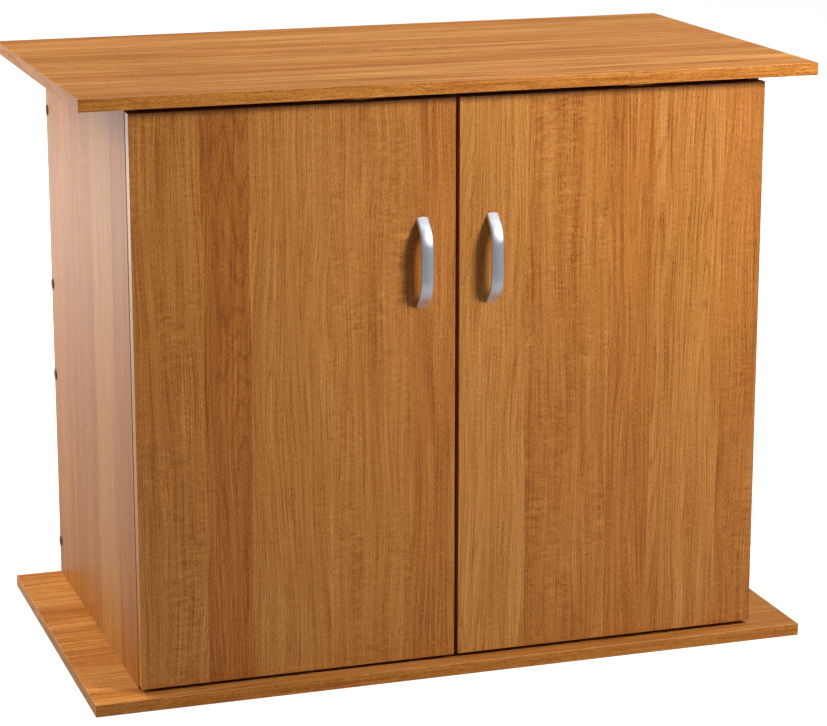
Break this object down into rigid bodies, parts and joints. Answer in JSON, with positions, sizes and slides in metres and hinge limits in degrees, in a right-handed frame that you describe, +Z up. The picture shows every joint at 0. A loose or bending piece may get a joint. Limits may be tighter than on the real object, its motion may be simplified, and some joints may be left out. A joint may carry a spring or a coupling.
{
  "type": "aquarium cabinet stand",
  "caption": "Wood-look laminate cabinet stand with overhanging top and base boards, two full-overlay hinged doors and bow handles.",
  "frame": {"origin": "centre of the underside of the base board, on the floor", "axes": "+X to the right along the front, +Y from front to back, +Z up"},
  "size_m": [0.9, 0.5019, 0.725],
  "materials": {
    "cherry_laminate": "satin melamine foil with a straight wood grain",
    "satin_metal": "satin plated",
    "nickel": "nickel plated steel",
    "zinc": "zinc plated",
    "clear_rubber": "soft clear bumper",
    "brown_plastic": "moulded dark brown plastic"
  },
  "bodies": {
    "carcass": {"top_board": "cherry_laminate", "base_board": "cherry_laminate", "left_side_panel": "cherry_laminate", "right_side_panel": "cherry_laminate", "centre_upright": "cherry_laminate", "upper_back_panel": "cherry_laminate", "lower_back_panel": "cherry_laminate", "left_side_screw_1": "zinc", "left_screw_cap_1": "brown_plastic", "left_side_screw_2": "zinc", "left_screw_cap_2": "brown_plastic", "left_side_screw_3": "zinc", "left_screw_cap_3": "brown_plastic", "left_side_screw_4": "zinc", "left_screw_cap_4": "brown_plastic", "right_side_screw_1": "zinc", "right_screw_cap_1": "brown_plastic", "right_side_screw_2": "zinc", "right_screw_cap_2": "brown_plastic", "right_side_screw_3": "zinc", "right_screw_cap_3": "brown_plastic", "right_side_screw_4": "zinc", "right_screw_cap_4": "brown_plastic", "left_cam_lock_front": "zinc", "right_cam_lock_front": "zinc", "centre_cam_lock_front": "zinc", "left_cam_lock_rear": "zinc", "right_cam_lock_rear": "zinc", "centre_cam_lock_rear": "zinc", "left_hinge_plate_lower": "nickel", "left_hinge_arm_lower": "nickel", "left_hinge_plate_upper": "nickel", "left_hinge_arm_upper": "nickel", "right_hinge_plate_lower": "nickel", "right_hinge_arm_lower": "nickel", "right_hinge_plate_upper": "nickel", "right_hinge_arm_upper": "nickel"},
    "left_door": {"left_door": "cherry_laminate", "left_hinge_cup_lower": "nickel", "left_hinge_cup_upper": "nickel", "left_handle": "satin_metal", "left_handle_screw_lower": "zinc", "left_door_bumper_lower": "clear_rubber", "left_handle_screw_upper": "zinc", "left_door_bumper_upper": "clear_rubber"},
    "right_door": {"right_door": "cherry_laminate", "right_hinge_cup_lower": "nickel", "right_hinge_cup_upper": "nickel", "right_handle": "satin_metal", "right_handle_screw_lower": "zinc", "right_door_bumper_lower": "clear_rubber", "right_handle_screw_upper": "zinc", "right_door_bumper_upper": "clear_rubber"},
    "left_hinge_links": {"left_hinge_link_lower": "nickel", "left_hinge_link_upper": "nickel"},
    "right_hinge_links": {"right_hinge_link_lower": "nickel", "right_hinge_link_upper": "nickel"}
  },
  "joints": [
    {"name": "left_door_hinge", "type": "hinge", "parent": "carcass", "child": "left_door", "pos_m": [-0.385, -0.2225, 0.3635], "axis": [0, 0, -1], "range_deg": [0, 105]},
    {"name": "left_link_pivot", "type": "hinge", "parent": "carcass", "child": "left_hinge_links", "pos_m": [-0.359, -0.2195, 0.3635], "axis": [0, 0, 1], "range_deg": [0, 30]},
    {"name": "right_door_hinge", "type": "hinge", "parent": "carcass", "child": "right_door", "pos_m": [0.385, -0.2225, 0.3635], "axis": [0, 0, 1], "range_deg": [0, 105]},
    {"name": "right_link_pivot", "type": "hinge", "parent": "carcass", "child": "right_hinge_links", "pos_m": [0.359, -0.2195, 0.3635], "axis": [0, 0, -1], "range_deg": [0, 30]}
  ],
  "couplings": [
    {"joint": "left_link_pivot", "follows": "left_door_hinge", "ratio": 0.28},
    {"joint": "right_link_pivot", "follows": "right_door_hinge", "ratio": 0.28}
  ]
}
